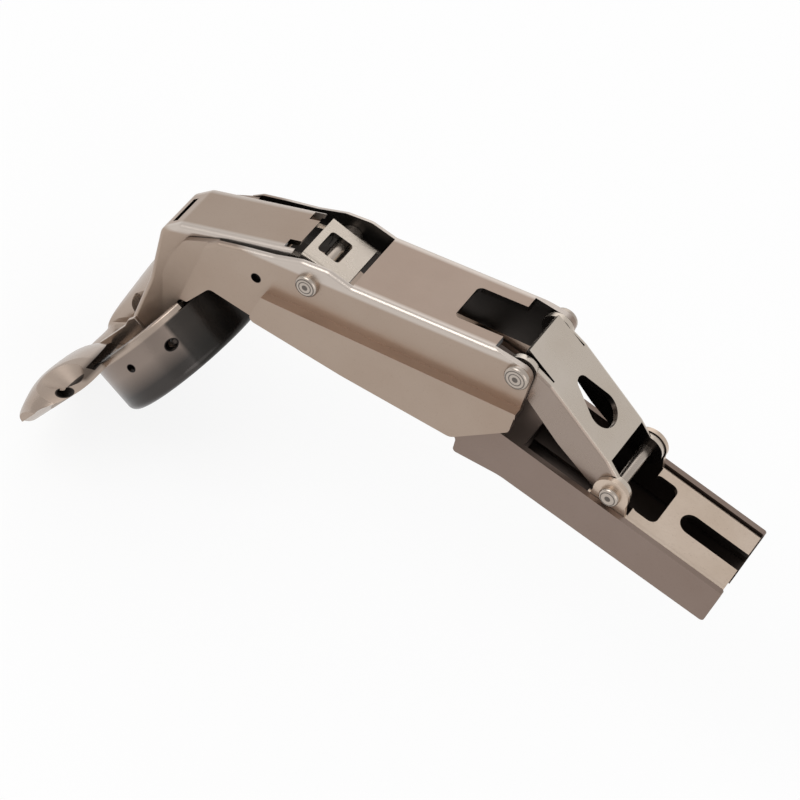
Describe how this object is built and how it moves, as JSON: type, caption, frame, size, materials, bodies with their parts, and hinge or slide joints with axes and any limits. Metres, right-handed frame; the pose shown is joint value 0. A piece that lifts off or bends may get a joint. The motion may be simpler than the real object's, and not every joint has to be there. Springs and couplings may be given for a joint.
{
  "type": "concealed cup hinge",
  "caption": "Wide-angle concealed cup hinge with folded-sheet levers, a round cup with two screw wings and a slotted slide-on arm.",
  "frame": {"origin": "rear end of the arm, mid-width, at the level of the arm's top edge", "axes": "+X along the arm towards its rear end, Y along the pivots, +Z away from the cabinet side"},
  "size_m": [0.1328, 0.068, 0.0841],
  "materials": {
    "lever_nickel": "satin nickel plate",
    "link_nickel": "bright nickel plate",
    "cup_nickel": "bright nickel plate",
    "insert_zinc": "nickel-plated zinc casting",
    "pin_steel": "polished steel"
  },
  "bodies": {
    "arm": {"arm_channel": "lever_nickel", "arm_insert": "insert_zinc", "rear_link_pin": "pin_steel"},
    "rear": {"rear_link": "link_nickel"},
    "outer": {"outer_lever": "lever_nickel", "rear_lever_pin": "pin_steel", "scissor_pin": "pin_steel", "scissor_bush": "pin_steel", "scissor_washer_near": "pin_steel", "scissor_washer_far": "pin_steel"},
    "inner": {"inner_lever": "link_nickel", "nose_pin": "pin_steel"},
    "front": {"front_link": "lever_nickel", "front_link_pin": "pin_steel"},
    "door_cup": {"cup": "cup_nickel", "pin_post": "insert_zinc", "cup_outer_pin": "pin_steel", "cup_inner_pin": "pin_steel"}
  },
  "joints": [
    {"name": "rear_link_swing", "type": "hinge", "parent": "arm", "child": "rear", "pos_m": [-0.0275, 0, 0.0026], "axis": [0, 1, 0], "range_deg": [0, 134.4]},
    {"name": "outer_lever_pivot", "type": "hinge", "parent": "rear", "child": "outer", "pos_m": [-0.0538, 0, 0.0148], "axis": [0, 1, 0], "range_deg": [-109, 0]},
    {"name": "cup_pivot", "type": "hinge", "parent": "outer", "child": "door_cup", "pos_m": [-0.11389, 0, -0.03155], "axis": [0, 1, 0], "range_deg": [0, 134.7]},
    {"name": "scissor_pivot", "type": "hinge", "parent": "outer", "child": "inner", "pos_m": [-0.0966, 0, 0.0011], "axis": [0, 1, 0], "range_deg": [0, 102.32]},
    {"name": "front_link_pivot", "type": "hinge", "parent": "inner", "child": "front", "pos_m": [-0.1058, 0, -0.0024], "axis": [0, 1, 0], "range_deg": [-89.3, 0]}
  ],
  "couplings": [
    {"joint": "outer_lever_pivot", "follows": "rear_link_swing", "ratio": -0.811},
    {"joint": "cup_pivot", "follows": "rear_link_swing", "ratio": 1.0021},
    {"joint": "scissor_pivot", "follows": "rear_link_swing", "ratio": 0.7612},
    {"joint": "front_link_pivot", "follows": "rear_link_swing", "ratio": -0.6644}
  ]
}
